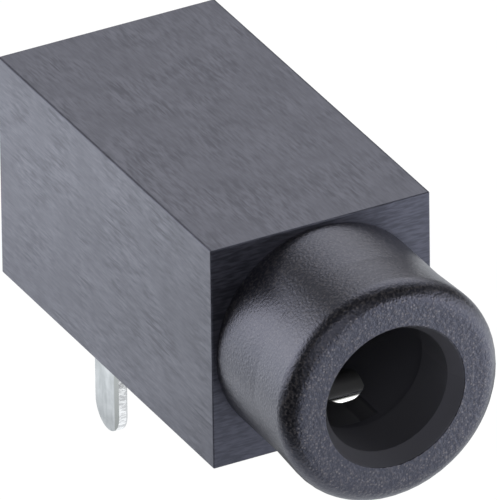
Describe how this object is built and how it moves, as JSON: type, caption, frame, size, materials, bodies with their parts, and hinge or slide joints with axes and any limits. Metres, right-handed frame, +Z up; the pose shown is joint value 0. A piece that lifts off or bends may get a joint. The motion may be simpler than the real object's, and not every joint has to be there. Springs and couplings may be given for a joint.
{
  "type": "board mount audio jack",
  "caption": "Right-angle audio jack for a circuit board, with a plain round nose that reaches through a panel and flat solder terminals underneath.",
  "frame": {"origin": "middle of the block's underside, on the circuit board's surface", "axes": "+Z up from the board, -Y out of the nose towards the plug, +X to the right seen from the nose's side"},
  "size_m": [0.0066, 0.016, 0.0096],
  "materials": {
    "housing_plastic": "black moulded thermoplastic, fine drawn lines on the block and spark-eroded grain on the nose",
    "cover_plastic": "black moulded thermoplastic, satin",
    "contact_metal": "tinned bronze strip, satin, with sheared edges"
  },
  "bodies": {
    "root": {"housing": "housing_plastic", "base_cover": "cover_plastic", "tip_contact": "contact_metal", "ring_contact": "contact_metal", "sleeve_contact": "contact_metal"}
  },
  "joints": []
}
